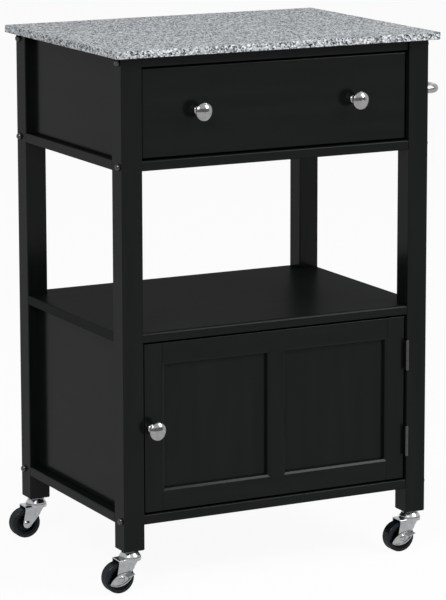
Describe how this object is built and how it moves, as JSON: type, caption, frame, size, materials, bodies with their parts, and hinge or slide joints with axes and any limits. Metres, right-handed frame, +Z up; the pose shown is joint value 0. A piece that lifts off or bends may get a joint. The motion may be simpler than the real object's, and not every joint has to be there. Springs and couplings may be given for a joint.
{
  "type": "kitchen cart",
  "caption": "Rolling kitchen cart with a granite worktop, a wide drawer, an open deck, a cabinet with a framed door, a side towel bar and swivel casters.",
  "frame": {"origin": "on the floor under the middle of the worktop", "axes": "+Z up, +X to the right seen from the front, +Y to the back; the drawer and door face -Y"},
  "size_m": [0.6185, 0.446, 0.87],
  "materials": {
    "satin_black": "satin black paint over wood and board",
    "granite": "polished grey granite with fine dark and light specks",
    "chrome": "polished chrome plate",
    "bolt_black": "glossy black lacquer on steel",
    "zinc": "bright zinc plate on pressed steel",
    "hinge_steel": "black lacquer on steel",
    "drawer_wood": "thin dark stain on board",
    "catch_plastic": "moulded black plastic",
    "hub_plastic": "moulded dark plastic",
    "tyre_rubber": "smooth black rubber"
  },
  "bodies": {
    "frame": {"leg_front_left": "satin_black", "leg_front_right": "satin_black", "leg_rear_left": "satin_black", "leg_rear_right": "satin_black", "top_rail_front": "satin_black", "top_rail_rear": "satin_black", "case_side_rails": "satin_black", "deck_side_rails": "satin_black", "bottom_side_rails": "satin_black", "case_side_panels": "satin_black", "cabinet_side_panels": "satin_black", "case_back_panel": "satin_black", "cabinet_back_panel": "satin_black", "case_floor_board": "satin_black", "deck_board": "satin_black", "bottom_board": "satin_black", "worktop": "granite", "towel_bar": "chrome", "dome_bolts": "bolt_black", "barrel_nuts": "zinc", "drawer_runners": "zinc", "caster_stems": "zinc", "hinge_frame_leaves": "hinge_steel", "hinge_pins": "hinge_steel", "runner_cleats": "drawer_wood", "magnet_catch": "catch_plastic"},
    "drawer": {"drawer_front": "satin_black", "drawer_side_left": "drawer_wood", "drawer_side_right": "drawer_wood", "drawer_back": "drawer_wood", "drawer_bottom": "drawer_wood", "drawer_slides": "zinc", "drawer_knobs": "chrome"},
    "door": {"door_stile_latch": "satin_black", "door_stile_hinge": "satin_black", "door_rail_top": "satin_black", "door_rail_bottom": "satin_black", "door_mullion": "satin_black", "door_panels": "satin_black", "door_knob": "chrome", "hinge_door_leaves": "hinge_steel", "strike_plate": "zinc"},
    "caster_front_left": {"fork_front_left": "zinc", "axle_front_left": "zinc"},
    "roller_front_left": {"wheel_front_left": "hub_plastic", "tyre_front_left": "tyre_rubber"},
    "brake_front_left": {"brake_lever_front_left": "zinc"},
    "caster_front_right": {"fork_front_right": "zinc", "axle_front_right": "zinc"},
    "roller_front_right": {"wheel_front_right": "hub_plastic", "tyre_front_right": "tyre_rubber"},
    "brake_front_right": {"brake_lever_front_right": "zinc"},
    "caster_rear_left": {"fork_rear_left": "zinc", "axle_rear_left": "zinc"},
    "roller_rear_left": {"wheel_rear_left": "hub_plastic", "tyre_rear_left": "tyre_rubber"},
    "caster_rear_right": {"fork_rear_right": "zinc", "axle_rear_right": "zinc"},
    "roller_rear_right": {"wheel_rear_right": "hub_plastic", "tyre_rear_right": "tyre_rubber"}
  },
  "joints": [
    {"name": "drawer_slide", "type": "slide", "parent": "frame", "child": "drawer", "axis": [0, -1, 0], "range_m": [0, 0.25]},
    {"name": "door_hinge", "type": "hinge", "parent": "frame", "child": "door", "pos_m": [0.2395, -0.205, 0.2645], "axis": [0, 0, 1], "range_deg": [0, 165]},
    {"name": "swivel_front_left", "type": "hinge", "parent": "frame", "child": "caster_front_left", "pos_m": [-0.259, -0.184, 0.054], "axis": [0, 0, 1], "continuous": true},
    {"name": "roll_front_left", "type": "hinge", "parent": "caster_front_left", "child": "roller_front_left", "pos_m": [-0.281, -0.184, 0.025], "axis": [0, 1, 0], "continuous": true},
    {"name": "brake_press_front_left", "type": "hinge", "parent": "caster_front_left", "child": "brake_front_left", "pos_m": [-0.281, -0.184, 0.025], "axis": [0, 1, 0], "range_deg": [0, 18]},
    {"name": "swivel_front_right", "type": "hinge", "parent": "frame", "child": "caster_front_right", "pos_m": [0.259, -0.184, 0.054], "axis": [0, 0, 1], "continuous": true},
    {"name": "roll_front_right", "type": "hinge", "parent": "caster_front_right", "child": "roller_front_right", "pos_m": [0.237, -0.184, 0.025], "axis": [0, 1, 0], "continuous": true},
    {"name": "brake_press_front_right", "type": "hinge", "parent": "caster_front_right", "child": "brake_front_right", "pos_m": [0.237, -0.184, 0.025], "axis": [0, 1, 0], "range_deg": [0, 18]},
    {"name": "swivel_rear_left", "type": "hinge", "parent": "frame", "child": "caster_rear_left", "pos_m": [-0.259, 0.184, 0.054], "axis": [0, 0, 1], "continuous": true},
    {"name": "roll_rear_left", "type": "hinge", "parent": "caster_rear_left", "child": "roller_rear_left", "pos_m": [-0.281, 0.184, 0.025], "axis": [0, 1, 0], "continuous": true},
    {"name": "swivel_rear_right", "type": "hinge", "parent": "frame", "child": "caster_rear_right", "pos_m": [0.259, 0.184, 0.054], "axis": [0, 0, 1], "continuous": true},
    {"name": "roll_rear_right", "type": "hinge", "parent": "caster_rear_right", "child": "roller_rear_right", "pos_m": [0.237, 0.184, 0.025], "axis": [0, 1, 0], "continuous": true}
  ]
}
